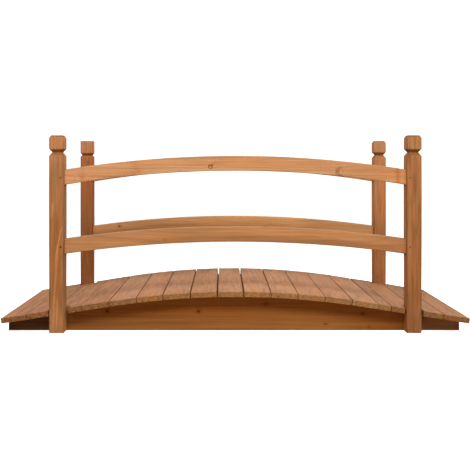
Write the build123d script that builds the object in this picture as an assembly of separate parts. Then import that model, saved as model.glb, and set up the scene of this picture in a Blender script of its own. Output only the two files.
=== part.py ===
# Arched wooden garden footbridge: a deck of cross planks on two solid side
# stringers, with two square posts and two curved rails along each side.
# Millimetres, +Z up, X along the span, Y across it (front is -Y), origin on
# the ground under the middle of the bridge.
from build123d import *
import math
import os

os.makedirs("parts", exist_ok=True)

# ---- driving dimensions -------------------------------------------------
LENGTH = 1404.0          # deck, tip to tip
WIDTH = 600.0            # over the outer faces of the posts

POST = 45.0              # square section of a post
POST_HEIGHT = 591.0
POST_INNER_X = 511.5     # side face of a post that looks at mid-span
BEVEL_SIDE = 5.5         # bevel round the top of a post, across and down
BEVEL_DOWN = 7.5
GROOVE_TOP = 41.0        # V groove below the post cap, measured down from the top
GROOVE_ROOT = 50.6
GROOVE_END = 61.8
GROOVE_DEPTH = 8.4
PLAIN_GROOVE_TOP = 44.0  # the back left post has a square top and a shallower groove
PLAIN_GROOVE_ROOT = 52.3
PLAIN_GROOVE_END = 57.0
PLAIN_GROOVE_DEPTH = 6.0

RAIL_HEIGHT = 45.0
RAIL_THICK = 28.0
RAIL_HOUSING = 12.0      # depth that a rail end is let into its post
TOP_RAIL_CROWN = 529.5   # upper edge at mid-span
TOP_RAIL_RADIUS = 3200.0
LOW_RAIL_CROWN = 316.9
LOW_RAIL_RADIUS = 3660.0

DECK_CROWN = 123.0       # walking surface at mid-span
DECK_RADIUS = 2500.0     # middle of the deck
RAMP = math.atan(0.157)  # straight ends of the deck
PLANK_THICK = 16.0
PLANK_LENGTH = 596.0

STRINGER_LEFT = -688.0   # ends of a stringer, along X
STRINGER_RIGHT = 681.0
STRINGER_THICK = 28.0
STRINGER_FACE = WIDTH / 2 - POST  # outer face, which the posts stand against

# seams between planks, along X, and the clear gap at each one
SEAMS = [-626.7, -544.2, -461.6, -379.1, -296.5, -217.5, -135.1, -54.0, 25.0,
         106.9, 187.8, 269.1, 349.7, 429.8, 468.0, 547.0, 625.4]
GAPS = [1.5, 2.0, 1.0, 3.0, 2.0, 2.0, 3.0, 4.0, 4.0,
        2.5, 2.0, 1.5, 2.0, 3.2, 2.0, 2.0, 2.0]

# planks laid a little askew: number from the left, and turn in the plane of the board, in degrees
ASKEW = {14: 0.23, 15: -0.19}

# cut-outs for the posts in the edges of the deck, along X
NOTCHES = [(-560.0, -499.0), (507.7, 563.2)]
NOTCH_CLEAR = 1.0        # between the cut-out and the back of a post


# ---- curves -------------------------------------------------------------
TANGENT_X = DECK_RADIUS * math.sin(RAMP)
ARC_CENTRE_Z = DECK_CROWN - DECK_RADIUS


def deck_point(x):
    """Height of the walking surface at x, and its slope as a turn about +Y."""
    a = abs(x)
    if a <= TANGENT_X:
        z = ARC_CENTRE_Z + math.sqrt(DECK_RADIUS ** 2 - a * a)
        turn = math.asin(a / DECK_RADIUS)
    else:
        z = ARC_CENTRE_Z + DECK_RADIUS * math.cos(RAMP) - math.tan(RAMP) * (a - TANGENT_X)
        turn = RAMP
    return z, math.copysign(turn, x)


def slab(edges, thick):
    """A flat outline in an XZ plane, carried along +Y by its thickness."""
    return extrude(Face(Wire(edges)), amount=thick, dir=(0, 1, 0))


# ---- stringers ----------------------------------------------------------
def stringer(y):
    r = DECK_RADIUS - PLANK_THICK
    tx, tz = r * math.sin(RAMP), ARC_CENTRE_Z + r * math.cos(RAMP)
    left, right = STRINGER_LEFT, STRINGER_RIGHT
    left_z = tz - math.tan(RAMP) * (-left - tx)
    right_z = tz - math.tan(RAMP) * (right - tx)
    edges = [
        Edge.make_line((left, y, 0), (right, y, 0)),
        Edge.make_line((right, y, 0), (right, y, right_z)),
        Edge.make_line((right, y, right_z), (tx, y, tz)),
        Edge.make_three_point_arc((tx, y, tz), (0, y, ARC_CENTRE_Z + r), (-tx, y, tz)),
        Edge.make_line((-tx, y, tz), (left, y, left_z)),
        Edge.make_line((left, y, left_z), (left, y, 0)),
    ]
    return slab(edges, STRINGER_THICK)


# ---- rails --------------------------------------------------------------
def rail(crown, radius, y):
    end = POST_INNER_X + RAIL_HOUSING
    zc = crown - radius
    low = radius - RAIL_HEIGHT

    def at(r):
        return zc + math.sqrt(r * r - end * end)

    edges = [
        Edge.make_three_point_arc((-end, y, at(radius)), (0, y, crown), (end, y, at(radius))),
        Edge.make_line((end, y, at(radius)), (end, y, at(low))),
        Edge.make_three_point_arc((end, y, at(low)), (0, y, crown - RAIL_HEIGHT), (-end, y, at(low))),
        Edge.make_line((-end, y, at(low)), (-end, y, at(radius))),
    ]
    return slab(edges, RAIL_THICK)


# ---- posts --------------------------------------------------------------
def post(x, y, plain):
    body = Pos(0, 0, POST_HEIGHT / 2) * Box(POST, POST, POST_HEIGHT)
    if plain:
        top, root, end, depth = (PLAIN_GROOVE_TOP, PLAIN_GROOVE_ROOT,
                                 PLAIN_GROOVE_END, PLAIN_GROOVE_DEPTH)
    else:
        top, root, end, depth = GROOVE_TOP, GROOVE_ROOT, GROOVE_END, GROOVE_DEPTH
    # one V cut, run past the face so that the cuts meet in mitres at the corners
    past = 4.0
    face = POST / 2
    zr = POST_HEIGHT - root
    up = (root - top) / depth
    down = (end - root) / depth
    a = (face + past, -POST, zr + up * (depth + past))
    b = (face - depth, -POST, zr)
    c = (face + past, -POST, zr - down * (depth + past))
    vee = slab([Edge.make_line(a, b), Edge.make_line(b, c), Edge.make_line(c, a)], 2 * POST)
    for quarter in range(4):
        body = body - Rot(0, 0, 90 * quarter) * vee
    if not plain:
        a = (face + BEVEL_SIDE / 2, -POST, POST_HEIGHT - 1.5 * BEVEL_DOWN)
        b = (face - 1.5 * BEVEL_SIDE, -POST, POST_HEIGHT + BEVEL_DOWN / 2)
        c = (face + BEVEL_SIDE / 2, -POST, POST_HEIGHT + BEVEL_DOWN / 2)
        wedge = slab([Edge.make_line(a, b), Edge.make_line(b, c), Edge.make_line(c, a)], 2 * POST)
        for quarter in range(4):
            body = body - Rot(0, 0, 90 * quarter) * wedge
    return Pos(x, y, 0) * body


# ---- deck planks --------------------------------------------------------
def planks():
    edges = [-LENGTH / 2] + SEAMS + [LENGTH / 2]
    gaps = [0.0] + GAPS + [0.0]
    made = []
    for i in range(len(edges) - 1):
        x0 = edges[i] + gaps[i] / 2
        x1 = edges[i + 1] - gaps[i + 1] / 2
        xm = (x0 + x1) / 2
        z, turn = deck_point(xm)
        wide = (x1 - x0) / math.cos(turn)
        board = Pos(xm - math.sin(turn) * PLANK_THICK / 2, 0,
                    z - math.cos(turn) * PLANK_THICK / 2) \
            * Rot(0, math.degrees(turn), 0) * Rot(0, 0, ASKEW.get(i + 1, 0.0)) \
            * Box(wide, PLANK_LENGTH, PLANK_THICK)
        for n0, n1 in NOTCHES:
            if n0 < x1 + 4 and n1 > x0 - 4:
                deep = WIDTH / 2 - (STRINGER_FACE - NOTCH_CLEAR)
                for side in (-1, 1):
                    board = board - Pos((n0 + n1) / 2,
                                        side * (STRINGER_FACE - NOTCH_CLEAR + deep / 2), 80) \
                        * Box(n1 - n0, deep, 200)
        made.append(board)
    return made


# ---- put together and write ---------------------------------------------
nodes = {}
rail_y = {"front": -WIDTH / 2 + (POST - RAIL_THICK) / 2,
          "back": WIDTH / 2 - (POST + RAIL_THICK) / 2}
for side in ("front", "back"):
    nodes[side + "_top_rail"] = rail(TOP_RAIL_CROWN, TOP_RAIL_RADIUS, rail_y[side])
    nodes[side + "_lower_rail"] = rail(LOW_RAIL_CROWN, LOW_RAIL_RADIUS, rail_y[side])

nodes["front_stringer"] = stringer(-STRINGER_FACE)
nodes["back_stringer"] = stringer(STRINGER_FACE - STRINGER_THICK)

post_x = POST_INNER_X + POST / 2
post_y = WIDTH / 2 - POST / 2
for side, y in (("front", -post_y), ("back", post_y)):
    for hand, x in (("left", -post_x), ("right", post_x)):
        made = post(x, y, plain=(side == "back" and hand == "left"))
        # the rail ends are let into the post
        made = made - nodes[side + "_top_rail"] - nodes[side + "_lower_rail"]
        nodes[side + "_" + hand + "_post"] = made

for number, board in enumerate(planks(), 1):
    nodes["deck_plank_%02d" % number] = board

for name, shape in nodes.items():
    export_step(shape, "parts/" + name + ".step")
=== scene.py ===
import math
import random

import bpy
import bmesh
import numpy as np
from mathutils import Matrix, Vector, noise
from mathutils.geometry import tessellate_polygon


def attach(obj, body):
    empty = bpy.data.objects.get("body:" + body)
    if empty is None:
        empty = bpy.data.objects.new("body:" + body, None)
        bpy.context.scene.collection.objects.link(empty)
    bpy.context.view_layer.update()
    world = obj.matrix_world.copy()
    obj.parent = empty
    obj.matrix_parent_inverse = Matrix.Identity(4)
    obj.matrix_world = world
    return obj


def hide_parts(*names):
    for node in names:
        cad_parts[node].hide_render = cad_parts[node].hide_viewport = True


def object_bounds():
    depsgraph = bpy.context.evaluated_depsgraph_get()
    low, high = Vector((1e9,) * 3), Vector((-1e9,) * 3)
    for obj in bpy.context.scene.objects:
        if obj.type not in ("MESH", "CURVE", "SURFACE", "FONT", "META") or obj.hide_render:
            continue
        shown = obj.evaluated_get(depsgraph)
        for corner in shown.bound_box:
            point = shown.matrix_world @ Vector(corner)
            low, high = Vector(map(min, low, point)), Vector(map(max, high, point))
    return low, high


# Arched garden footbridge in brown-stained softwood. All lengths below are in
# millimetres and are turned into metres when a mesh is made.
# X runs along the span, Y across it (front is -Y), Z up, origin on the ground.
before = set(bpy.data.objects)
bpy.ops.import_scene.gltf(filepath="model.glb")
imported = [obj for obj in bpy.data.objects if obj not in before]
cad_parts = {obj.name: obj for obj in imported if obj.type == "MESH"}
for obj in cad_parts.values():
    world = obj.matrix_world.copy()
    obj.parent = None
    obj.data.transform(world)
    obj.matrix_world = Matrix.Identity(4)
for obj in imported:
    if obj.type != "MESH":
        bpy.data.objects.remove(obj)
CAD_LOW, CAD_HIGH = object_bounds()

# ---- dimensions ----------------------------------------------------------
LENGTH, WIDTH = 1404.0, 600.0
POST, POST_HEIGHT, POST_INNER_X = 45.0, 591.0, 511.5
RAIL_HEIGHT, RAIL_THICK, RAIL_HOUSING = 45.0, 28.0, 12.0
RAILS = {"top": (529.5, 3200.0), "lower": (316.9, 3660.0)}   # crown, radius
DECK_CROWN, DECK_RADIUS, RAMP = 123.0, 2500.0, math.atan(0.157)
PLANK_THICK, PLANK_LENGTH = 16.0, 596.0
STRINGER_LEFT, STRINGER_RIGHT, STRINGER_THICK, STRINGER_FACE = -688.0, 681.0, 28.0, 255.0
STRINGER_Y = STRINGER_FACE - STRINGER_THICK / 2
SEAMS = [-626.7, -544.2, -461.6, -379.1, -296.5, -217.5, -135.1, -54.0, 25.0,
         106.9, 187.8, 269.1, 349.7, 429.8, 468.0, 547.0, 625.4]
GAPS = [1.5, 2.0, 1.0, 3.0, 2.0, 2.0, 3.0, 4.0, 4.0,
        2.5, 2.0, 1.5, 2.0, 3.2, 2.0, 2.0, 2.0]
ASKEW = {14: 0.23, 15: -0.19}       # planks turned a little in their own plane, in degrees
# V groove of a post: upper edge, root and lower edge below its top, and depth; the back left post has its own
GROOVE, PLAIN_GROOVE = (41.0, 50.6, 61.8, 8.4), (44.0, 52.3, 57.0, 6.0)
BEVEL_SIDE, BEVEL_DOWN = 5.5, 7.5   # round the top of a post
NOTCHES = [(-560.0, -499.0), (507.7, 563.2)]
NOTCH_Y = 254.0
TANGENT_X = DECK_RADIUS * math.sin(RAMP)
ARC_Z = DECK_CROWN - DECK_RADIUS


def deck_point(x):
    """Height of the walking surface at x, and its slope as a turn about +Y."""
    a = abs(x)
    if a <= TANGENT_X:
        return ARC_Z + math.sqrt(DECK_RADIUS ** 2 - a * a), math.copysign(math.asin(a / DECK_RADIUS), x)
    z = ARC_Z + DECK_RADIUS * math.cos(RAMP) - math.tan(RAMP) * (a - TANGENT_X)
    return z, math.copysign(RAMP, x)


def stringer_top(x):
    a, r = abs(x), DECK_RADIUS - PLANK_THICK
    tx = r * math.sin(RAMP)
    if a <= tx:
        return ARC_Z + math.sqrt(r * r - a * a)
    return ARC_Z + r * math.cos(RAMP) - math.tan(RAMP) * (a - tx)


def rail_z(kind, x):
    """Lower and upper edge of a rail at x."""
    crown, radius = RAILS[kind]
    zc, low = crown - radius, radius - RAIL_HEIGHT
    return zc + math.sqrt(low * low - x * x), zc + math.sqrt(radius * radius - x * x)


# ---- meshes --------------------------------------------------------------
CORNER = 3  # segments round an arris
SCREWS = {"deck_screws": [], "sunk_rail_screws": [], "stained_rail_screws": [], "post_screws": []}   # (head centre, outward axis, radius)


def section(a0, a1, b0, b1, r, fa, fb):
    """A rectangle with eased corners: points, outward normals and closeness to an arris, anticlockwise from (a0, b0).
    fa and fb are where the straight sides are divided, from 0 to 1."""
    pts, nrm, edge = [], [], []

    def straight(p, q, n, fr):
        for f in fr:
            pts.append((p[0] + (q[0] - p[0]) * f, p[1] + (q[1] - p[1]) * f))
            nrm.append(n)
            edge.append(0.0)

    def corner(ca, cb, start):
        for k in range(CORNER + 1):
            t = math.radians(start + 90.0 * k / CORNER)
            pts.append((ca + r * math.cos(t), cb + r * math.sin(t)))
            nrm.append((math.cos(t), math.sin(t)))
            edge.append(1.0 if 0 < k < CORNER else 0.55)

    ra = [1 - f for f in reversed(fa)]
    rb = [1 - f for f in reversed(fb)]
    straight((a0 + r, b0), (a1 - r, b0), (0, -1), fa)
    corner(a1 - r, b0 + r, -90)
    straight((a1, b0 + r), (a1, b1 - r), (1, 0), fb)
    corner(a1 - r, b1 - r, 0)
    straight((a1 - r, b1), (a0 + r, b1), (0, 1), ra)
    corner(a0 + r, b1 - r, 90)
    straight((a0, b1 - r), (a0, b0 + r), (-1, 0), rb)
    corner(a0 + r, b0 + r, 180)
    return np.array(pts), np.array(nrm, float), np.array(edge)


def divide(n, near):
    """n even divisions of a side, with one more close to each end so that the flat stays flat."""
    return sorted({near, 1 - near, *[i / n for i in range(1, n)]})


class Loft:
    """Sections strung along a piece, skinned with quads and closed at both ends."""

    def __init__(self, fa, fb):
        self.rings, self.normals, self.edges, self.ends = [], [], [], []
        self.extra_v, self.extra_f, self.skip = [], [], set()
        na, nb, c = len(fa), len(fb), CORNER + 1
        starts = {"low": (0, na), "right": (na + c, nb), "high": (na + nb + 2 * c, na), "left": (2 * na + nb + 3 * c, nb)}
        self.sides = {k: list(range(s, s + n)) for k, (s, n) in starts.items()}

    def add(self, origin, A, B, sec, end=0.0):
        pts, nrm, edge = sec
        o, A, B = np.array(origin, float), np.array(A, float), np.array(B, float)
        self.rings.append(o + pts[:, :1] * A + pts[:, 1:] * B)
        self.normals.append(nrm[:, :1] * A + nrm[:, 1:] * B)
        self.edges.append(edge)
        self.ends.append(end)

    def block(self, i0, i1, j0, j1):
        """Take a block of quads out of the skin, and give back the points round the opening."""
        for i in range(i0, i1):
            for j in range(j0, j1):
                self.skip.add((i, j))
        return [(i0, j) for j in range(j0, j1)] + [(i, j1) for i in range(i0, i1)] \
            + [(i1, j) for j in range(j1, j0, -1)] + [(i, j0) for i in range(i1, i0, -1)]

    def index(self, ij):
        return ij[0] * len(self.rings[0]) + ij[1]

    def more(self, points):
        at = len(self.extra_v)
        self.extra_v += [np.array(p, float) for p in points]
        return [("e", at + k) for k in range(len(points))]

    def wall(self, a, b):
        for k in range(len(a)):
            q = (k + 1) % len(a)
            self.extra_f.append((a[k], a[q], b[q], b[k]))

    def pocket(self, i0, i1, j0, j1, shift):
        """A flat-bottomed recess with the outline of a block of quads."""
        rim = self.block(i0, i1, j0, j1)
        base = [self.rings[i][j] + np.array(shift) for i, j in rim]
        floor, (middle,) = self.more(base), self.more([np.mean(base, axis=0)])
        self.wall([self.index(q) for q in rim], floor)
        self.extra_f += [(floor[k], floor[(k + 1) % len(floor)], middle) for k in range(len(floor))]

    def drill(self, side, at, along, across, out, radius, depth, lip=0.35):
        """A round blind hole in a flat side, with a small countersunk lip."""
        at, along, across, out = (np.array(q, float) for q in (at, along, across, out))
        keep = radius + 1.6
        s = [float(r.mean(0) @ along) for r in self.rings]
        i0 = max(i for i, q in enumerate(s) if q <= at @ along - keep)
        i1 = min(i for i, q in enumerate(s) if q >= at @ along + keep)
        cols = self.sides[side]
        c = {j: float(self.rings[i0][j] @ across) for j in cols}
        ja = max((j for j in cols if c[j] <= at @ across - keep), key=lambda j: c[j])
        jb = min((j for j in cols if c[j] >= at @ across + keep), key=lambda j: c[j])
        rim = self.block(i0, i1, min(ja, jb), max(ja, jb))
        turn = [2 * math.pi * k / 20 for k in range(20)]

        def circle(r, d):
            return [at + along * (r * math.cos(t)) + across * (r * math.sin(t)) - out * d for t in turn]

        mouth = self.more(circle(radius + lip, 0.0))
        neck = self.more(circle(radius, lip))
        foot = self.more(circle(radius, depth))
        def bearing(p):
            return math.atan2(float((np.array(p) - at) @ across), float((np.array(p) - at) @ along))

        outer = sorted((bearing(self.rings[i][j]), self.index((i, j))) for i, j in rim)
        inner = sorted((bearing(p), q) for p, q in zip(circle(radius + lip, 0.0), mouth))
        no, ni, i, j = len(outer), len(inner), 0, 0
        while i < no or j < ni:
            next_o = outer[i + 1][0] if i + 1 < no else outer[0][0] + 2 * math.pi
            next_i = inner[j + 1][0] if j + 1 < ni else inner[0][0] + 2 * math.pi
            if j == ni or (i < no and next_o <= next_i):
                self.extra_f.append((outer[i][1], outer[(i + 1) % no][1], inner[j % ni][1]))
                i += 1
            else:
                self.extra_f.append((outer[i % no][1], inner[(j + 1) % ni][1], inner[j][1]))
                j += 1
        self.wall(mouth, neck)
        self.wall(neck, foot)
        self.extra_f.append(tuple(foot))

    def finish(self, name, grain, seed, wave=0.22, low_side=None):
        """grain maps (n, 3) points to (n, 3) grain coordinates: along, across, through; low_side maps them to 0 at the
        upper edge of the piece and 1 at the lower one."""
        n, m = len(self.rings), len(self.rings[0])
        v = np.concatenate(self.rings)
        nv = np.concatenate(self.normals)
        edge = np.concatenate(self.edges)
        end = np.repeat(np.array(self.ends), m)
        edge = np.where(end > 0.99, 0.0, edge)
        # faint unevenness left by the plane and by drying, longer along the grain than across it
        g = grain(v)
        push = np.array([noise.noise(Vector((p[0] * 0.006 + seed * 7.3, p[1] * 0.035, p[2] * 0.035)))
                         + 0.45 * noise.noise(Vector((p[0] * 0.03 + seed * 3.1, p[1] * 0.12, p[2] * 0.12)))
                         for p in g])
        v = v + nv * (wave * push)[:, None] * (1.0 - end)[:, None]
        faces = []
        for i in range(n - 1):
            for j in range(m):
                if (i, j) not in self.skip:
                    k = (j + 1) % m
                    faces.append((i * m + j, i * m + k, (i + 1) * m + k, (i + 1) * m + j))
        faces.append(tuple(range(m))[::-1])
        faces.append(tuple(range((n - 1) * m, n * m)))
        if self.extra_v:
            base = len(v)
            v = np.concatenate([v, np.array(self.extra_v)])
            edge = np.concatenate([edge, np.zeros(len(self.extra_v))])
            end = np.concatenate([end, np.zeros(len(self.extra_v))])
            faces += [tuple(base + q[1] if isinstance(q, tuple) else q for q in f) for f in self.extra_f]
        return make_mesh(name, v, faces, grain(v), edge, end, low_side(v) if low_side else None)


def make_mesh(name, v, faces, g=None, edge=None, end=None, low_side=None):
    low, high = np.array(CAD_LOW), np.array(CAD_HIGH)
    co = np.clip(np.array(v) * 0.001, low, high)
    mesh = bpy.data.meshes.new(name)
    mesh.from_pydata([tuple(p) for p in co], [], faces)
    bm = bmesh.new()
    bm.from_mesh(mesh)
    bmesh.ops.recalc_face_normals(bm, faces=bm.faces)
    bm.to_mesh(mesh)
    bm.free()
    mesh.shade_smooth()
    mesh.set_sharp_from_angle(angle=math.radians(42))
    if g is not None:
        a = mesh.attributes.new("grain", "FLOAT_VECTOR", "POINT")
        a.data.foreach_set("vector", np.array(g, np.float32).ravel())
        for key, values in (("arris", edge), ("end_grain_and_shade", end), ("low", low_side)):
            if values is None:
                continue
            a = mesh.attributes.new(key, "FLOAT", "POINT")
            a.data.foreach_set("value", np.array(values, np.float32))
    obj = bpy.data.objects.new(name, mesh)
    bpy.context.scene.collection.objects.link(obj)
    return obj


def end_steps(r):
    """Distance from the end and inset of each section of an eased end, from the end inwards."""
    steps = [(0.0, r + 0.7, 1.0)]
    for k in range(4):
        t = math.radians(30.0 * k)
        steps.append((r * (1 - math.cos(t)), r * (1 - math.sin(t)), 1.0 - k / 3.0))
    return steps


def even(a, b, pitch):
    n = max(1, int(round(abs(b - a) / pitch)))
    return [a + (b - a) * i / n for i in range(1, n)]


def plank(number, x0, x1, rng):
    xm = (x0 + x1) / 2
    z, turn = deck_point(xm)
    c, s = math.cos(turn), math.sin(turn)
    half = (x1 - x0) / 2 / c
    A, B = (c, 0, -s), (s, 0, c)
    ox, oz = xm - s * PLANK_THICK / 2, z - c * PLANK_THICK / 2
    r = 1.1
    fa, fb = divide(9 if half > 25 else 5, 0.012), [0.06, 0.5, 0.94]
    cup = rng.uniform(-0.25, 0.3)
    span = [-PLANK_LENGTH / 2 + rng.uniform(0.0, 2.2), PLANK_LENGTH / 2 - rng.uniform(0.0, 2.2)]
    # a board beside a post is narrower at both ends
    short = [-half, half]
    for n0, n1 in NOTCHES:
        a0, a1 = (n0 - ox) / c, (n1 - ox) / c
        if a0 <= -half + 4 < a1 < half:
            short[0] = a1
        if -half < a0 < half - 4 <= a1:
            short[1] = a0
    full = [-half, half]
    skew = math.tan(math.radians(ASKEW.get(number, 0.0)))
    loft = Loft(fa, fb)

    def ring(y, inset, end, a_range):
        lo, hi = a_range[0] + inset - skew * y, a_range[1] - inset - skew * y
        sec = section(lo, hi, -PLANK_THICK / 2 + inset, PLANK_THICK / 2 - inset, max(r - inset, 0.25), fa, fb)
        sec[0][:, 1] += cup * ((sec[0][:, 0] / half) ** 2 - 0.4)
        loft.add((ox, y, oz), A, B, sec, end)

    steps = end_steps(r)
    inner, outer = span[0] + steps[-1][0], span[1] - steps[-1][0]
    marks = [(span[0] + d, inset, end, short) for d, inset, end in steps]
    if short != full:
        marks += [(y, 0, 0, short) for y in even(inner, -NOTCH_Y - 0.5, 11)]
        marks += [(-NOTCH_Y - 0.4, 0, 0, short), (-NOTCH_Y, 0, 0, full)]
        marks += [(y, 0, 0, full) for y in even(-NOTCH_Y, NOTCH_Y, 11)]
        marks += [(NOTCH_Y, 0, 0, full), (NOTCH_Y + 0.4, 0, 0, short)]
        marks += [(y, 0, 0, short) for y in even(NOTCH_Y + 0.5, outer, 11)]
    else:
        marks += [(y, 0, 0, full) for y in even(inner, outer, 11)]
    marks += [(span[1] - d, inset, end, short) for d, inset, end in reversed(steps)]
    for m in marks:
        ring(*m)
    # screws down into both stringers
    for side in (-1, 1):
        spots = (-0.52, 0.52) if half > 25 else (0.0,)
        for f in spots:
            a, y = f * half + rng.uniform(-1.5, 1.5), side * (STRINGER_Y + rng.uniform(-2.5, 2.5))
            top = PLANK_THICK / 2 + cup * ((a / half) ** 2 - 0.4)
            at = np.array([ox + a * c + top * s, y, oz - a * s + top * c])
            loft.drill("high", at, (0, 1, 0), A, B, 3.3, 1.6)
            SCREWS["deck_screws"].append((at - np.array(B) * 0.5, B, 3.2, rng.uniform(0, 90)))

    def grain(p):
        dx, dz = p[:, 0] - ox, p[:, 2] - oz
        return np.stack([p[:, 1], dx * c - dz * s, dx * s + dz * c], 1)

    return loft.finish("plank_board_%02d" % number, grain, number, 0.2)


def rail(name, kind, y, seed):
    end = POST_INNER_X + RAIL_HOUSING
    r = 2.2
    fa, fb = divide(4, 0.03), divide(6, 0.02)
    loft = Loft(fa, fb)
    steps = end_steps(r)
    marks = [(-end + d, i, e) for d, i, e in steps]
    marks += [(x, 0, 0) for x in even(-end + r, end - r, 10)]
    marks += [(end - d, i, e) for d, i, e in reversed(steps)]
    for x, inset, e in marks:
        z0, z1 = rail_z(kind, x)
        sec = section(-RAIL_THICK / 2 + inset, RAIL_THICK / 2 - inset, z0 + inset, z1 - inset,
                      max(r - inset, 0.25), fa, fb)
        loft.add((x, y, 0), (0, 1, 0), (0, 0, 1), sec, e)

    def drop(p):
        zs = np.array([rail_z(kind, x) for x in p[:, 0]])
        return np.clip((zs[:, 1] - p[:, 2]) / RAIL_HEIGHT, 0.0, 1.0)

    return loft.finish(name, lambda p: p[:, [0, 2, 1]], seed, 0.25, drop)


def stringer(name, y, seed):
    r = 1.5
    fa, fb = divide(3, 0.03), divide(8, 0.012)
    loft = Loft(fa, fb)
    steps = end_steps(r)
    marks = [(STRINGER_LEFT + d, i, e) for d, i, e in steps]
    marks += [(x, 0, 0) for x in even(STRINGER_LEFT + r, STRINGER_RIGHT - r, 11)]
    marks += [(STRINGER_RIGHT - d, i, e) for d, i, e in reversed(steps)]
    for x, inset, e in marks:
        sec = section(-STRINGER_THICK / 2 + inset, STRINGER_THICK / 2 - inset, inset, stringer_top(x) - inset,
                      max(r - inset, 0.25), fa, fb)
        loft.add((x, y, 0), (0, 1, 0), (0, 0, 1), sec, e)
    # two screws into each post, from the inside
    side = "right" if y < 0 else "left"
    out = np.array([0.0, 1.0 if y < 0 else -1.0, 0.0])
    for sx in (-1, 1):
        for dx, z in ((-9.0, 16.0), (9.0, 37.0)):
            at = np.array([sx * (POST_INNER_X + POST / 2 + dx), y, z]) + out * STRINGER_THICK / 2
            loft.drill(side, at, (1, 0, 0), (0, 0, 1), out, 4.1, 2.0)
            SCREWS["post_screws"].append((at - out * 0.6, out, 4.0, 20.0 + z))

    def drop(p):
        return np.clip(1.0 - p[:, 2] / np.array([stringer_top(x) for x in p[:, 0]]), 0.0, 1.0)

    return loft.finish(name, lambda p: p[:, [0, 2, 1]], seed, 0.15, drop)


def eased(profile, radius):
    """A (height, half width) outline with each inner corner replaced by a short curve."""
    out = [profile[0]]
    for i in range(1, len(profile) - 1):
        p, q, s = (np.array(profile[k], float) for k in (i - 1, i, i + 1))
        d0, d1 = p - q, s - q
        cut = min(radius, 0.35 * np.linalg.norm(d0), 0.35 * np.linalg.norm(d1))
        a, b = q + d0 / np.linalg.norm(d0) * cut, q + d1 / np.linalg.norm(d1) * cut
        for t in (0, 0.33, 0.67, 1):
            out.append(tuple((1 - t) ** 2 * a + 2 * t * (1 - t) * q + t * t * b))
    return out + [profile[-1]]


def post(name, x, y, hand, plain, seed):
    h, H = POST / 2, POST_HEIGHT
    brow, root, sill, deep = PLAIN_GROOVE if plain else GROOVE
    profile = [(H - sill, h), (H - root, h - deep), (H - brow, h)]
    profile += [(H - 1.2, h - 0.1), (H, h - 1.4)] if plain else [(H - BEVEL_DOWN, h), (H, h - BEVEL_SIDE)]
    profile = [(0.0, h - 1.2), (1.2, h)] + profile
    curve = eased(profile, 2.0)
    # mortises for the two rails, in the side face that looks at mid-span
    inner, seat = POST_INNER_X, POST_INNER_X + RAIL_HOUSING
    holes = []
    for kind in ("lower", "top"):
        holes.append((rail_z(kind, seat)[0] - 0.6, rail_z(kind, inner)[1] + 0.6))
    cuts = sorted(z for hole in holes for z in hole)
    levels, last = [], None
    for z, w in curve:
        if last is not None and z - last[0] > 16:
            stops = [last[0], *[k for k in cuts if last[0] < k < z], z]
            for a, b in zip(stops, stops[1:]):
                for m in even(a, b, 12) + ([b] if b < z else []):
                    levels.append((m, last[1] + (w - last[1]) * (m - last[0]) / (z - last[0])))
        levels.append((z, w))
        last = (z, w)
    r = 2.8
    slot = RAIL_THICK / 2 + 0.5
    f = (h - slot - r) / (POST - 2 * r)
    fa = divide(7, 0.016)
    fb = sorted({0.016, 0.984, f, 1 - f, 0.35, 0.5, 0.65})
    loft = Loft(fa, fb)
    loft.add((x, y, 0), (1, 0, 0), (0, 1, 0), section(-h + 3, h - 3, -h + 3, h - 3, 0.6, fa, fb), 1.0)
    # slopes cut across the grain show some end grain; the upper slope of the groove, which faces down, gets the full
    # end tone as painted shade
    rise = 1.0 if plain else BEVEL_DOWN
    for z, w in levels:
        down = H - z
        cut = 1.0 if brow + 0.8 <= down <= root + 1.0 else 0.3 if root < down < sill - 0.8 else 0.4 if down < rise - 0.6 else 0.0
        loft.add((x, y, z), (1, 0, 0), (0, 1, 0), section(-w, w, -w, w, r, fa, fb), cut)
    w = levels[-1][1] - 0.8
    loft.add((x, y, H), (1, 0, 0), (0, 1, 0), section(-w, w, -w, w, r * 0.8, fa, fb), 1.0)
    loft.ends[-2] = 0.7
    side = "right" if hand == "left" else "left"
    cols = loft.sides[side]
    order = fb if side == "right" else [1 - q for q in reversed(fb)]
    j0 = cols[min(range(len(order)), key=lambda k: abs(order[k] - f))]
    j1 = cols[min(range(len(order)), key=lambda k: abs(order[k] - (1 - f)))]
    zs = [0.0] + [z for z, w in levels] + [H]
    push = ((-1 if hand == "left" else 1) * (RAIL_HOUSING + 1.0), 0, 0)
    for lo, hi in holes:
        i0 = min(range(len(zs)), key=lambda k: abs(zs[k] - lo))
        i1 = min(range(len(zs)), key=lambda k: abs(zs[k] - hi))
        loft.pocket(i0, i1, j0, j1, push)
    # a sunk screw through the outer face into the end of each rail
    front = y < 0
    out = np.array([0.0, -1.0 if front else 1.0, 0.0])
    for kind in ("lower", "top"):
        sx = math.copysign(522.0, x)
        at = np.array([sx, y, sum(rail_z(kind, 522.0)) / 2]) + out * h
        stained = kind == "top" or (front and hand == "right")
        sunk = 0.5 if kind == "top" else 1.0 if stained else 1.9
        loft.drill("low" if front else "high", at, (0, 0, 1), (1, 0, 0), out, 3.1, sunk + 1.5)
        SCREWS["stained_rail_screws" if stained else "sunk_rail_screws"].append((at - out * sunk, out, 3.0, 31.0 * seed % 90))
    return loft.finish(name, lambda p: p[:, [2, 0, 1]], seed, 0.22)


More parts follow.
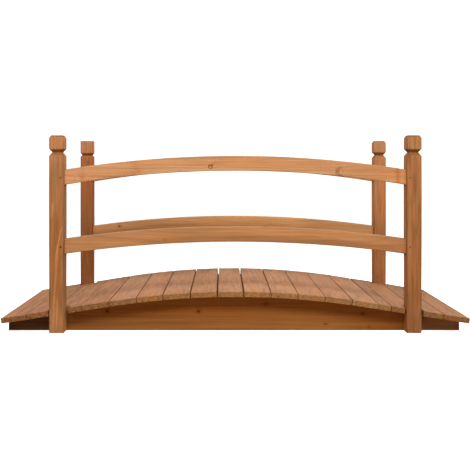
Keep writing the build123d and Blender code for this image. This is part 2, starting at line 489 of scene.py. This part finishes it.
def screw_heads(name, spots):
    """Countersunk heads with a cross recess, each closed by a short cone below the face."""
    verts, faces = [], []
    for at, out, radius, spin in spots:
        out = np.array(out, float)
        side = np.cross(out, (0.0, 1.0, 0.0) if abs(out[1]) < 0.7 else (0.0, 0.0, 1.0))
        side /= np.linalg.norm(side)
        other = np.cross(out, side)
        base = len(verts)

        def put(p, d):
            return np.array(at) + side * p[0] + other * p[1] - out * d

        rim = [(radius * math.cos(t), radius * math.sin(t)) for t in (2 * math.pi * k / 24 for k in range(24))]
        l, w = 0.6 * radius, 0.13 * radius
        cross = [(w, l), (w, w), (l, w), (l, -w), (w, -w), (w, -l), (-w, -l), (-w, -w), (-l, -w), (-l, w), (-w, w), (-w, l)]
        c, s = math.cos(math.radians(spin)), math.sin(math.radians(spin))
        cross = [(px * c - py * s, px * s + py * c) for px, py in cross][::-1]
        n, m = len(rim), len(cross)
        verts += [put((p[0] * 0.96, p[1] * 0.96), 0.0) for p in rim] + [put(p, 0.0) for p in cross]
        verts += [put((p[0] * 0.8, p[1] * 0.8), 0.32 * radius) for p in cross]
        verts += [put(p, 0.12) for p in rim] + [put((p[0] * 0.55, p[1] * 0.55), 1.0) for p in rim]
        shape = [[Vector((p[0], p[1], 0)) for p in rim], [Vector((p[0], p[1], 0)) for p in cross]]
        faces += [tuple(base + k for k in tri) for tri in tessellate_polygon(shape)]
        for k in range(m):
            q = (k + 1) % m
            faces.append((base + n + k, base + n + q, base + n + m + q, base + n + m + k))
        faces.append(tuple(base + n + m + k for k in range(m)))
        for start, low in ((0, n + 2 * m), (n + 2 * m, 2 * n + 2 * m)):
            for k in range(n):
                q = (k + 1) % n
                faces.append((base + start + k, base + start + q, base + low + q, base + low + k))
        faces.append(tuple(base + 2 * n + 2 * m + k for k in range(n)))
    obj = make_mesh(name, verts, faces)
    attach(obj, "root")
    return obj


# ---- materials -----------------------------------------------------------
def times(colour, *factors):
    f = factors if len(factors) == 3 else factors * 3
    return tuple(c * k for c, k in zip(colour[:3], f)) + (1.0,)


class Tree:
    """Short names for building a node tree."""

    def __init__(self, mat):
        mat.use_nodes = True
        self.t = mat.node_tree
        self.t.nodes.clear()

    def node(self, kind, **values):
        n = self.t.nodes.new(kind)
        for k, v in values.items():
            setattr(n, k, v)
        return n

    def put(self, socket, value):
        if isinstance(value, bpy.types.NodeSocket):
            self.t.links.new(value, socket)
        else:
            socket.default_value = value

    def math(self, op, *args, clamp=False):
        n = self.node("ShaderNodeMath", operation=op, use_clamp=clamp)
        for i, a in enumerate(args):
            self.put(n.inputs[i], a)
        return n.outputs[0]

    def vec(self, op, *args):
        n = self.node("ShaderNodeVectorMath", operation=op)
        for i, a in enumerate(args):
            self.put(n.inputs[i], a)
        return n.outputs["Value" if op in ("LENGTH", "DOT_PRODUCT") else "Vector"]

    def noise(self, vector, stretch, shift, detail=2.0, rough=0.5, colour=False):
        n = self.node("ShaderNodeTexNoise", noise_dimensions="3D")
        self.put(n.inputs["Vector"], self.vec("ADD", self.vec("MULTIPLY", vector, stretch), shift))
        n.inputs["Scale"].default_value = 1.0
        n.inputs["Detail"].default_value = detail
        n.inputs["Roughness"].default_value = rough
        return n.outputs["Color" if colour else "Fac"]

    def span(self, value, a, b, c, d, smooth=True):
        n = self.node("ShaderNodeMapRange", interpolation_type="SMOOTHSTEP" if smooth else "LINEAR")
        for i, q in enumerate((value, a, b, c, d)):
            self.put(n.inputs[i], q)
        return n.outputs[0]

    def mix(self, fac, a, b, blend="MIX"):
        n = self.node("ShaderNodeMix", data_type="RGBA", blend_type=blend, clamp_factor=True)
        self.put(n.inputs[0], fac)
        self.put(n.inputs[6], a)
        self.put(n.inputs[7], b)
        return n.outputs[2]

    def ramp(self, fac, stops):
        n = self.node("ShaderNodeValToRGB")
        e = n.color_ramp.elements
        while len(e) < len(stops):
            e.new(0.5)
        for q, (pos, val) in zip(e, stops):
            q.position = pos
            q.color = (val, val, val, 1.0)
        self.put(n.inputs[0], fac)
        return n.outputs[0]


def wood(name, tone, pith, ring, lean, seed, knots=(), flares=(), rings=0.5, streak=1.0, fibre=0.6, tint=1.0,
         cloud=0.16, rough=0.62, gloss=0.15, wear_and_highlight=0.3, end_and_shade_tone=(0.6, 0.51, 0.3), cap=None, grain_len=1.0, fades=(),
         edge_tone=None, low=None, eyes=(), smears=(), strokes=(), pitch=(1.0, 1.0), specks=0.0, figure=0.0):
    """Stained softwood cut from a trunk whose pith runs at pith = (across, through), with growth rings about ring mm
    wide.
    knots are (along, across, radius, strength); flares are pale slanting figure lines (along0, across0, along1,
    across1, bow, width, strength);
    cap is (height, gain), painted light that makes a post head paler; fades are (along0, along1, gain0, gain1), a slow
    change of colour along the piece, which is painted light on the posts and painted shade on the stringer ends;
    edge_tone darkens the arrises, on the deck boards as painted shade in the seams; low is (start, softness, gain,
    along0, along1), a change of colour towards the lower edge over a length, which is painted shade on the lower rails
    and painted light on the stringers;
    eyes are sound knots with a dark rim (along, across, radius, flatness, strength); smears are (along, width,
    strength), resin bands;
    strokes are dark slanting marks, laid out as flares; pitch makes the streaks finer along and across the grain;
    specks are small pale flecks, and figure is how strongly the growth rings show on sawn ends."""
    mat = bpy.data.materials.new(name)
    t = Tree(mat)
    rng = random.Random(seed * 977 + 5)
    off = tuple(rng.uniform(-40, 40) for _ in range(3))

    def shift(d):
        return tuple(o + d for o in off)

    light, dark = times(tone, 1.19, 1.2, 1.24), times(tone, 0.64, 0.6, 0.52)
    g = t.node("ShaderNodeAttribute", attribute_name="grain").outputs["Vector"]
    arris = t.node("ShaderNodeAttribute", attribute_name="arris").outputs["Fac"]
    cut = t.node("ShaderNodeAttribute", attribute_name="end_grain_and_shade").outputs["Fac"]
    axes = t.node("ShaderNodeSeparateXYZ")
    t.put(axes.inputs[0], g)
    along, across = axes.outputs[0], axes.outputs[1]
    k = 1.0 / grain_len

    # the rings wander along the board
    bend = t.noise(g, (0.0028, 0.022, 0.022), off, 2.0, 0.5, colour=True)
    bend = t.vec("MULTIPLY", t.vec("SUBTRACT", bend, (0.5, 0.5, 0.5)), (0.0, 16.0, 16.0))
    w = t.vec("ADD", g, bend)
    fromp = t.vec("MULTIPLY", t.vec("SUBTRACT", w, (0.0, pith[0], pith[1])), (0.0, 1.0, 1.0))
    r = t.vec("LENGTH", fromp)
    r = t.math("MULTIPLY_ADD", along, lean, r)

    # knots push the rings aside and have a dark core of their own
    near, core = None, None
    fine = t.noise(g, (0.014 * k, 0.95, 0.95), shift(3), 3.0, 0.62)
    for ku, kv, kr, ks in knots:
        d = t.vec("LENGTH", t.vec("MULTIPLY", t.vec("SUBTRACT", w, (ku, kv, 0.0)), (0.72 / kr, 1.0 / kr, 0.0)))
        swell = t.math("EXPONENT", t.math("MULTIPLY", t.math("MULTIPLY", d, d), -0.16))
        r = t.math("MULTIPLY_ADD", swell, 1.9 * kr, r)
        jag = t.math("MULTIPLY_ADD", t.math("SUBTRACT", fine, 0.5), 0.4, d)
        this = t.span(jag, 0.7, 1.1, ks, 0.0)
        halo = t.span(d, 0.9, 3.4, 0.5 * ks, 0.0)
        near = halo if near is None else t.math("MAXIMUM", near, halo)
        core = this if core is None else t.math("MAXIMUM", core, this)

    rims = None
    for ku, kv, kr, flat, ks in eyes:
        d = t.vec("LENGTH", t.vec("MULTIPLY", t.vec("SUBTRACT", g if kr < 8 else w, (ku, kv, 0.0)), (1.0 / kr, flat / kr, 0.0)))
        swell = t.math("EXPONENT", t.math("MULTIPLY", t.math("MULTIPLY", d, d), -0.3))
        r = t.math("MULTIPLY_ADD", swell, 1.2 * kr, r)
        jag = t.math("MULTIPLY_ADD", t.math("SUBTRACT", fine, 0.5), 0.3, d)
        ring_at = t.math("ABSOLUTE", t.math("SUBTRACT", jag, 0.9))
        rim = t.span(ring_at, 0.04, 0.34, ks, 0.0)
        heart = t.span(d, 0.5, 1.0, 0.5 * ks, 0.0)
        rims = (rim, heart) if rims is None else (t.math("MAXIMUM", rims[0], rim), t.math("MAXIMUM", rims[1], heart))

    wide = t.noise(g, (0.0012, 0.05, 0.05), shift(11), 1.0)
    phase = t.math("MULTIPLY_ADD", wide, 1.6, t.math("DIVIDE", r, ring))
    late = t.ramp(t.math("FRACT", phase), [(0.0, 0.0), (0.42, 0.07), (0.72, 0.42), (0.9, 1.0), (0.965, 0.85), (1.0, 0.0)])
    one = t.node("ShaderNodeTexWhiteNoise", noise_dimensions="1D")
    t.put(one.inputs["W"], t.math("FLOOR", phase))
    late = t.math("MULTIPLY", late, t.span(one.outputs["Value"], 0.0, 1.0, 0.35, 1.0, smooth=False))

    band = t.noise(g, (0.005 * k * pitch[0], 0.13 * pitch[1], 0.13 * pitch[1]), shift(-7), 3.0, 0.55)
    slow = t.noise(g, (0.004 * k, 0.045, 0.045), shift(31), 2.0, 0.5)
    blot = t.noise(g, (0.0035, 0.014, 0.014), shift(23), 2.0, 0.5)
    pore = t.span(t.noise(g, (0.05, 1.7, 1.7), shift(-17), 2.0, 0.5), 0.6, 0.74, 0.0, 1.0)

    f = t.math("MULTIPLY_ADD", late, rings, 0.36 - 0.2 * rings)
    f = t.math("MULTIPLY_ADD", t.math("SUBTRACT", band, 0.5), streak * 1.5, f)
    f = t.math("MULTIPLY_ADD", t.math("SUBTRACT", fine, 0.5), fibre, f)
    f = t.math("MULTIPLY_ADD", pore, 0.1, f, clamp=True)
    col = t.mix(f, light, dark)
    # the stain takes redder in some places and more olive in others
    hue = t.span(slow, 0.3, 0.7, 0.0, 1.0, smooth=False)
    ends = [(1 + 0.07 * tint, 1 - 0.035 * tint, 1 - 0.17 * tint, 1), (1 - 0.07 * tint, 1 + 0.035 * tint, 1 + 0.17 * tint, 1)]
    col = t.mix(1.0, col, t.mix(hue, *ends), "MULTIPLY")
    shade = t.span(blot, 0.25, 0.75, 1.0 - cloud, 1.0 + cloud, smooth=False)
    col = t.mix(1.0, col, shade, "MULTIPLY")
    for u0, v0, u1, v1, bow, width, force, mark in [(*q, times(tone, 1.75, 1.9, 2.1)) for q in flares] + [(*q, times(tone, 0.3, 0.2, 0.14)) for q in strokes]:
        p = t.span(along, u0, u1, 0.0, 1.0, smooth=False)
        line = t.math("MULTIPLY_ADD", p, v1 - v0, v0)
        line = t.math("MULTIPLY_ADD", t.math("MULTIPLY", p, t.math("SUBTRACT", 1.0, p)), 4.0 * bow, line)
        d = t.math("DIVIDE", t.math("SUBTRACT", across, line), width)
        ridge = t.math("EXPONENT", t.math("MULTIPLY", t.math("MULTIPLY", d, d), -1.0))
        ridge = t.math("MULTIPLY", ridge, t.ramp(p, [(0.0, 0.0), (0.12, 1.0), (0.75, 0.8), (1.0, 0.0)]))
        ridge = t.math("MULTIPLY", ridge, t.span(band, 0.3, 0.6, 0.55 * force, 0.85 * force))
        col = t.mix(ridge, col, mark)
    if specks:
        fleck = t.span(t.noise(g, (0.1, 0.28, 0.28), shift(47), 1.0, 0.5), 0.7, 0.8, 0.0, specks)
        col = t.mix(fleck, col, times(tone, 1.7, 1.85, 2.1))
    height = t.math("MULTIPLY_ADD", late, 0.55, t.math("MULTIPLY", fine, 0.6))
    if near is not None:
        col = t.mix(near, col, t.mix(1.0, col, (0.66, 0.5, 0.36, 1.0), "MULTIPLY"))
        knot = t.mix(fine, times(tone, 0.1, 0.08, 0.07), times(tone, 0.42, 0.33, 0.28))
        col = t.mix(core, col, knot)
        height = t.math("MULTIPLY_ADD", core, 0.35, height)
    if rims is not None:
        col = t.mix(rims[1], col, t.mix(1.0, col, (1.02, 0.8, 0.55, 1.0), "MULTIPLY"))
        col = t.mix(rims[0], col, t.mix(1.0, col, (0.3, 0.18, 0.1, 1.0), "MULTIPLY"))
    for su, sw, ss in smears:
        d = t.math("DIVIDE", t.math("SUBTRACT", t.math("MULTIPLY_ADD", t.math("SUBTRACT", band, 0.5), 9.0, along), su), sw)
        d = t.math("EXPONENT", t.math("MULTIPLY", t.math("MULTIPLY", d, d), -1.0))
        col = t.mix(t.math("MULTIPLY", d, ss), col, t.mix(1.0, col, (0.8, 0.58, 0.4, 1.0), "MULTIPLY"))
    # low changes the colour towards the lower edge: painted shade on the lower rails, painted light on the stringers
    if low:
        down = t.node("ShaderNodeAttribute", attribute_name="low").outputs["Fac"]
        wave = t.math("MULTIPLY_ADD", t.math("SUBTRACT", slow, 0.5), 0.5, down)
        deep = t.span(wave, low[0] - low[1], low[0] + low[1], 0.0, 1.0)
        here = t.math("MULTIPLY", t.span(along, low[3] - 90.0, low[3] + 90.0, 0.0, 1.0), t.span(along, low[4] - 90.0, low[4] + 90.0, 1.0, 0.0))
        col = t.mix(t.math("MULTIPLY", deep, here), col, t.mix(1.0, col, times(low[2], 1.0), "MULTIPLY"))
    # painted light: cap makes the head of a post paler
    if cap:
        head = t.span(along, cap[0] - 9.0, cap[0] + 9.0, 0.0, 1.0)
        col = t.mix(1.0, col, t.mix(head, (1.0, 1.0, 1.0, 1.0), times(cap[1], 1.0)), "MULTIPLY")
    # fades change the colour slowly along the piece; on the posts they are painted light, on the stringer ends painted
    # shade
    for u0, u1, g0, g1 in fades:
        col = t.mix(1.0, col, t.mix(t.span(along, u0, u1, 0.0, 1.0), times(g0, 1.0), times(g1, 1.0)), "MULTIPLY")
    # sawn ends drink more stain, and arrises come out lighter in patches
    rough_end = t.noise(g, (0.4, 0.4, 0.4), off, 3.0, 0.6)
    # on the posts this end tone also paints the shade in the groove under the head
    col = t.mix(cut, col, t.mix(1.0, col, times(end_and_shade_tone, 1.0), "MULTIPLY"))
    if figure:
        curl = t.noise(g, (0.3, 0.11, 0.42), shift(13), 3.0, 0.6)
        curl = t.span(t.math("MULTIPLY_ADD", late, -0.16, curl), 0.3, 0.62, 1.0 - figure, 1.0 + figure, smooth=False)
        col = t.mix(cut, col, t.mix(1.0, col, curl, "MULTIPLY"))
    if edge_tone:
        col = t.mix(arris, col, t.mix(1.0, col, times(edge_tone, 1.0), "MULTIPLY"))
    # the lighter arrises are partly worn wood and partly painted highlight
    rub_and_highlight = t.math("MULTIPLY", arris, t.span(t.noise(g, (0.02, 0.06, 0.06), shift(5), 3.0, 0.6), 0.38, 0.68, 0.0, wear_and_highlight))
    col = t.mix(rub_and_highlight, col, times(tone, 1.5, 1.55, 1.65))

    rg = t.math("MULTIPLY_ADD", t.math("SUBTRACT", fine, 0.5), 0.22, rough)
    rg = t.math("MULTIPLY_ADD", late, -0.07, rg)
    rg = t.math("MULTIPLY_ADD", cut, 0.2, rg, clamp=True)
    height = t.math("MULTIPLY_ADD", t.math("MULTIPLY", cut, rough_end), 0.8, height)

    bump = t.node("ShaderNodeBump")
    bump.inputs["Strength"].default_value = 0.35
    bump.inputs["Distance"].default_value = 0.0007
    t.put(bump.inputs["Height"], height)
    bsdf = t.node("ShaderNodeBsdfPrincipled")
    bsdf.inputs["Specular IOR Level"].default_value = gloss
    t.put(bsdf.inputs["Base Color"], col)
    t.put(bsdf.inputs["Roughness"], rg)
    t.put(bsdf.inputs["Normal"], bump.outputs[0])
    out = t.node("ShaderNodeOutputMaterial")
    t.put(out.inputs["Surface"], bsdf.outputs[0])
    return mat


def screw_metal(name, bright, dull, metallic, gloss):
    mat = bpy.data.materials.new(name)
    t = Tree(mat)
    where = t.node("ShaderNodeTexCoord").outputs["Object"]
    stain = t.noise(where, (900.0, 900.0, 900.0), (3.0, 1.0, 2.0), 3.0, 0.6)
    bsdf = t.node("ShaderNodeBsdfPrincipled")
    bsdf.inputs["Metallic"].default_value = metallic
    bsdf.inputs["Specular IOR Level"].default_value = gloss
    t.put(bsdf.inputs["Base Color"], t.mix(t.span(stain, 0.35, 0.7, 0.0, 1.0), bright, dull))
    t.put(bsdf.inputs["Roughness"], t.span(stain, 0.3, 0.7, 0.38, 0.62))
    out = t.node("ShaderNodeOutputMaterial")
    t.put(out.inputs["Surface"], bsdf.outputs[0])
    return mat


def place(obj, node, mat):
    obj.data.materials.append(mat)
    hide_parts(node)
    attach(obj, "root")
    return obj


# ---- the pieces ----------------------------------------------------------
# mean colour of each piece, linear
PLAIN = (1.0, 1.0, 1.0)
TOP_RAIL = {"front": (0.327, 0.163, 0.0715), "back": (0.32, 0.158, 0.07)}
# painted light: the back lower rail is made much paler than the front one, to make up for the weaker light at the back
LOW_RAIL = {"front": (0.303, 0.147, 0.06), "back": (0.442, 0.235, 0.103)}
POSTS = {"front_left_post": (0.237, 0.104, 0.0377), "front_right_post": (0.21, 0.0845, 0.0275),
         "back_left_post": (0.25, 0.0932, 0.031), "back_right_post": (0.278, 0.117, 0.0432)}
BEAM = (0.1786, 0.0667, 0.015)
DECK = (0.278, 0.127, 0.0557)

rail_y = {"front": -WIDTH / 2 + POST / 2, "back": WIDTH / 2 - POST / 2}
rail_knots = {
    "front_top_rail": [(-458, 466, 5.0, 0.22), (-440, 458, 2.2, 0.35), (-289, 482, 2.4, 0.25)],
    "front_lower_rail": [(-210, 276, 3.0, 0.2)],
    "back_top_rail": [(205, 492, 4.0, 0.7), (-330, 476, 3.5, 0.6)],
    "back_lower_rail": [(-415, 281, 3.2, 0.9), (120, 284, 3.0, 0.3)],
}
# painted shade: low darkens the lower rails towards their lower edge; on the front top rail it makes the lower part
# paler
rail_low = {"front_top_rail": (0.66, 0.2, (1.07, 1.15, 1.2), -280.0, 280.0),
            "front_lower_rail": (0.6, 0.14, (0.78, 0.74, 0.68), -260.0, 480.0),
            "back_lower_rail": (0.5, 0.34, (0.7, 0.65, 0.58), -700.0, 250.0)}
rail_fades = {"front_top_rail": [(-420, -180, (1.08, 1.12, 1.2), PLAIN), (150, 400, PLAIN, (0.99, 0.95, 0.9))],
              "front_lower_rail": [(-330, -200, (1.02, 1.04, 1.08), PLAIN), (400, 480, PLAIN, (0.88, 0.81, 0.83))],
              "back_lower_rail": [(-300, 100, (0.82, 0.8, 0.78), (1.19, 1.17, 1.13)), (185, 320, PLAIN, (0.69, 0.7, 0.7))]}
rail_eyes = {"front_top_rail": [(313, 482, 10.0, 0.86, 0.2), (-74, 496.0, 6.8, 1.2, 0.75)]}
rail_strokes = {"front_top_rail": [(-83, 498.5, -65, 499.0, 1.2, 4.2, 0.75),
                                   (-73, 501.0, -56, 514.0, 0.0, 3.4, 0.5), (-60, 508.5, -28, 508, 0.0, 1.8, 0.22),
                                   (299, 480.5, 315, 482, 0.0, 8.5, 0.75), (302, 490.5, 324, 494.5, 1.0, 3.0, 0.6),
                                   (320, 494.5, 356, 497, 0.0, 2.4, 0.2), (306, 471.5, 322, 470.5, 0.0, 2.6, 0.6)]}
rail_flares = {"front_top_rail": [(-83, 514, -73, 515, 0.0, 2.4, 0.3), (-71, 509, -60, 517, 0.0, 2.0, 0.25), (313.5, 481, 320, 483, 0.0, 6.0, 0.25)]}
rail_smears = {"front_top_rail": [(487, 7.0, 0.8), (-300, 14.0, 0.3), (-459, 6.0, 0.25)]}
for n, side in enumerate(("front", "back")):
    for k, kind in enumerate(("top", "lower")):
        node = "%s_%s_rail" % (side, kind)
        seed = 31 + 2 * n + k
        tone = (TOP_RAIL if kind == "top" else LOW_RAIL)[side]
        mat = wood("wood_" + node, tone, (RAILS[kind][0] - (70, 40)[k] + 14 * n, rail_y[side] + (26, -30)[n]),
                   5.5, 0.02, seed, rail_knots[node], rail_flares.get(node, ()), rings=0.28, streak=0.75 if kind == "lower" else 0.95, tint=0.7, gloss=0.1, grain_len=1.4, wear_and_highlight=0.12,
                   fades=rail_fades.get(node, ()), low=rail_low.get(node), eyes=rail_eyes.get(node, ()),
                   smears=rail_smears.get(node, ()), strokes=rail_strokes.get(node, ()), edge_tone=(0.88, 0.85, 0.8))
        place(rail(node + "_board", kind, rail_y[side], seed), node, mat)

beam_knots = {
    "front_stringer": [(-111, 60, 4.2, 0.8), (94, 81, 7.0, 0.3), (275, 20, 4.0, 0.55), (388, 52, 4.2, 0.6),
                       (407, 13, 4.0, 0.35), (-389, 59, 4.2, 0.8)],
    "back_stringer": [(-300, 48, 5, 0.7), (40, 62, 5, 0.7), (330, 40, 4, 0.7)],
}
for n, side in enumerate(("front", "back")):
    node = side + "_stringer"
    y = (-1, 1)[n] * STRINGER_Y
    # painted light: the lower part of each stringer is painted lighter; painted shade: the ends beyond the posts are
    # painted darker and greyer, and the very tips darker still
    mat = wood("wood_" + node, BEAM, (-36 + 20 * n, y + (34, -40)[n]), 7.0, 0.012, 41 + n, beam_knots[node],
               rings=0.22, streak=0.85, tint=0.8, cloud=0.14, gloss=0.03, grain_len=2.0, edge_tone=(0.66, 0.6, 0.52), wear_and_highlight=0.1,
               low=(0.75, 0.3, (1.17, 1.39, 1.89), -370.0, 350.0),
               fades=[(-575, -545, (0.345, 0.46, 1.0) if side == "front" else (0.6, 0.6, 0.65), PLAIN),
                      (-690, -650, (0.72, 0.74, 0.8), PLAIN), (-440, -330, (1.03, 1.06, 1.2), PLAIN),
                      (100, 330, PLAIN, (1.12, 1.15, 1.18)), (548, 572, PLAIN, (0.77, 1.06, 2.5)), (655, 682, PLAIN, (0.72, 0.68, 0.68))])
    place(stringer(node + "_beam", y, 41 + n), node, mat)

post_knots = {
    "front_left_post": [(30, -552, 3.0, 0.25)],
    "front_right_post": [],
    "back_left_post": [(512, -530, 4.5, 0.45)],
    "back_right_post": [(96, 528, 3.0, 0.4)],
}
# painted light: the post heads are painted paler (post_caps), and the fades paint the feet of the front posts and the
# tops of the front left and back left posts paler
post_caps = {"front_left_post": (1.03, 1.04, 1.08), "front_right_post": (1.06, 1.25, 1.48),
             "back_left_post": (1.31, 1.49, 1.9), "back_right_post": (1.06, 1.2, 1.34)}
post_fades = {"front_left_post": [(40, 125, (1.27, 1.39, 1.55), PLAIN), (465, 525, PLAIN, (1.17, 1.15, 1.15))],
              "front_right_post": [(40, 110, (1.04, 1.1, 1.24), PLAIN)],
              "back_left_post": [(465, 495, PLAIN, (1.1, 1.15, 1.25))]}
post_flares = {
    "front_left_post": [(323, -516.5, 186, -540.5, -3.0, 2.0, 1.0), (268, -531.0, 60, -546.0, 2.0, 2.4, 1.0),
                        (392, -545.0, 342, -547.0, 0.0, 1.6, 1.0), (120, -541.0, 6, -545.5, 2.0, 1.7, 0.8),
                        (104, -531.0, 2, -536.0, 1.0, 1.7, 0.8), (225, -519.0, 130, -520.0, 0.0, 5.0, 0.3)],
    "front_right_post": [(300, 540.0, 60, 547.0, 2.0, 2.6, 0.5), (320, 523.0, 70, 520.5, 0.0, 6.5, 0.36)],
    "back_left_post": [],
    "back_right_post": [],
}
post_strokes = {"front_right_post": [(300, 549.5, 40, 550.0, 0.0, 7.0, 0.24)]}
for n, side in enumerate(("front", "back")):
    for k, hand in enumerate(("left", "right")):
        node = "%s_%s_post" % (side, hand)
        x = (-1, 1)[k] * (POST_INNER_X + POST / 2)
        y = (-1, 1)[n] * (WIDTH / 2 - POST / 2)
        seed = 51 + 2 * n + k
        plain = node == "back_left_post"
        # the dark end tone of the posts also paints shade in the groove under the head
        mat = wood("wood_" + node, POSTS[node], (x + (-46, 40, 30, -34)[2 * n + k], y + (30, 38, -42, -26)[2 * n + k]),
                   5.0, 0.03, seed, post_knots[node], post_flares[node], rings=0.28, streak={"front_left_post": 1.35, "front_right_post": 1.55}.get(node, 1.2), tint=1.2, pitch=(2.2, 1.0) if node == "front_right_post" else (1.9, 1.5),
                   gloss=0.08, wear_and_highlight=0.1, edge_tone=(0.7, 0.65, 0.6), specks=0.2, end_and_shade_tone=(0.45, 0.33, 0.17),
                   cap=(POST_HEIGHT - 50.0, post_caps[node]), fades=post_fades.get(node, ()),
                   strokes=post_strokes.get(node, ()))
        place(post(node + "_timber", x, y, hand, plain, seed), node, mat)

edges = [-LENGTH / 2] + SEAMS + [LENGTH / 2]
gaps = [0.0] + GAPS + [0.0]
for i in range(len(edges) - 1):
    number = i + 1
    rng = random.Random(700 + number)
    x0, x1 = edges[i] + gaps[i] / 2, edges[i + 1] - gaps[i + 1] / 2
    # the boards left of the middle are painted a little darker than those right of it: painted light, as the right-hand
    # slope is lit more
    tone = rng.uniform(0.95, 1.05) * (0.87 + 0.2 * (1 - abs(i - 12) / 12.0))
    warm = rng.uniform(-0.05, 0.05) + (0.06 if number <= 4 else 0.0)
    tone *= {1: 1.1, 2: 0.93, 3: 1.03, 4: 0.96, 5: 1.09, 10: 1.04, 15: 0.9, 16: 0.91, 17: 0.88, 18: 0.96}.get(number, 1.0)
    tone = times(DECK, tone * (1 + warm), tone, tone * (1 - warm))
    knots = [(rng.uniform(-250, 250), rng.uniform(-28, 28), rng.uniform(2.0, 4.0), rng.uniform(0.3, 0.9))
             for _ in range(rng.choice((0, 1, 1, 2)))]
    pith = (rng.uniform(-30, 30), rng.choice((-1, 1)) * rng.uniform(24, 60))
    # edge_tone darkens the arrises of each board: painted shade in the seams between boards
    mat = wood("wood_plank_%02d" % number, tone, pith, rng.uniform(3.6, 5.2), rng.uniform(-0.03, 0.03), 100 + number, knots,
               rings=0.5, streak=1.35 if number <= 4 else 1.0, fibre=1.4 if number <= 4 else 1.15, tint=0.7, cloud=0.14, rough=0.68, wear_and_highlight=0.15,
               pitch=(2.0, 0.65) if number <= 4 else (1.5, 1.4), specks=0.3, figure=0.45 if number <= 5 else 0.32,
               edge_tone=(0.92, 0.9, 0.86) if number in (3, 4) else (0.8, 0.76, 0.7) if number < 3 else {14: (0.66, 0.58, 0.48), 15: (0.38, 0.32, 0.24), 16: (0.82, 0.77, 0.69)}.get(number, (0.58, 0.51, 0.4)),
               end_and_shade_tone=(0.66, 0.73, 0.66) if number <= 5 else (0.78, 0.84, 0.68) if number <= 15 else (0.67, 0.64, 0.5))
    place(plank(number, x0, x1, rng), "deck_plank_%02d" % number, mat)

# the screws at the top rails, and one at a lower rail, are stained over with the posts
metal = screw_metal("screw_metal", (0.09, 0.075, 0.06, 1.0), (0.03, 0.022, 0.016, 1.0), 1.0, 0.5)
stained = screw_metal("screw_stained", (0.2, 0.075, 0.028, 1.0), (0.14, 0.05, 0.02, 1.0), 0.0, 0.05)
for name, spots in SCREWS.items():
    screw_heads(name, spots).data.materials.append(stained if name == "stained_rail_screws" else metal)

# ---- stage, light and camera ---------------------------------------------
FLOOR_LIGHT, ROUND_LIGHT, BACK_LIGHT = 1.0, 0.22, 0.7
KEY, OVERHEAD = 33.0, 26.0   # watts
floor_mesh = bpy.data.meshes.new("floor")
floor_mesh.from_pydata([(-40, -40, 0), (40, -40, 0), (40, 40, 0), (-40, 40, 0)], [], [(0, 1, 2, 3)])
floor = bpy.data.objects.new("floor", floor_mesh)
floor.location.z = -0.0004
floor.visible_diffuse = False
floor.visible_glossy = False
floor.visible_shadow = False
bpy.context.scene.collection.objects.link(floor)
pale = bpy.data.materials.new("floor_pale")
pale.use_nodes = True
pb = pale.node_tree.nodes["Principled BSDF"]
pb.inputs["Base Color"].default_value = (0.94, 0.94, 0.94, 1.0)
pb.inputs["Roughness"].default_value = 0.9
pb.inputs["Specular IOR Level"].default_value = 0.0
pb.inputs["Emission Color"].default_value = (1.0, 1.0, 1.0, 1.0)
pb.inputs["Emission Strength"].default_value = 0.72
floor_mesh.materials.append(pale)

# a white surround: bright underfoot and behind, dim in front, and plain white where it is seen directly
world = bpy.data.worlds.new("studio")
bpy.context.scene.world = world
world.use_nodes = True
wt = Tree(world)
direction = wt.node("ShaderNodeTexCoord").outputs["Generated"]
split = wt.node("ShaderNodeSeparateXYZ")
wt.put(split.inputs[0], direction)
toward_y, toward_z = split.outputs[1], split.outputs[2]
above = wt.span(toward_y, 0.0, 0.6, ROUND_LIGHT, BACK_LIGHT)
under = wt.span(toward_z, -0.06, 0.06, 1.0, 0.0)
shade = wt.mix(under, (1.0, 1.0, 1.0, 1.0), (1.0, 0.66, 0.37, 1.0))
level = wt.math("ADD", wt.math("MULTIPLY", under, FLOOR_LIGHT), wt.math("MULTIPLY", wt.math("SUBTRACT", 1.0, under), above))
seen = wt.node("ShaderNodeLightPath").outputs["Is Camera Ray"]
sky = wt.node("ShaderNodeBackground")
wt.put(sky.inputs["Color"], wt.mix(seen, shade, (1.0, 1.0, 1.0, 1.0)))
wt.put(sky.inputs["Strength"], wt.math("MAXIMUM", level, wt.math("MULTIPLY", seen, 1.2)))
wo = wt.node("ShaderNodeOutputWorld")
wt.put(wo.inputs["Surface"], sky.outputs[0])

# two softboxes: a long strip in front of the bridge and above it, and a broad one overhead
for name, power, size, place_at, aim in (("key_strip", KEY, (3.2, 0.33), (0.6, -1.105, 0.95), (0.0, 0.85, -0.8)),
                                         ("overhead", OVERHEAD, (3.2, 0.85), (0.0, 0.05, 1.3), (0.0, 0.0, -1.0))):
    box = bpy.data.lights.new(name, "AREA")
    box.shape = "RECTANGLE"
    box.size, box.size_y = size
    box.energy = power
    lamp = bpy.data.objects.new(name, box)
    lamp.location = place_at
    lamp.rotation_euler = Vector(aim).to_track_quat("-Z", "Y").to_euler()
    lamp.visible_camera = False
    bpy.context.scene.collection.objects.link(lamp)

cam = bpy.data.cameras.new("camera")
cam.sensor_fit = "HORIZONTAL"
cam.sensor_width = 36.0
cam.lens = 844.4 / 470.0 * 36.0
cam.shift_x = (235.0 - 223.5) / 470.0
cam.shift_y = (167.0 - 235.0) / 470.0
cam.clip_start, cam.clip_end = 0.05, 200.0
camera = bpy.data.objects.new("camera", cam)
camera.location = (-0.0354, -2.820, 0.496)
camera.rotation_euler = (math.radians(90.0), 0.0, 0.0)
bpy.context.scene.collection.objects.link(camera)
bpy.context.scene.camera = camera
bpy.context.scene.view_settings.view_transform = "Standard"
bpy.context.scene.view_settings.look = "None"
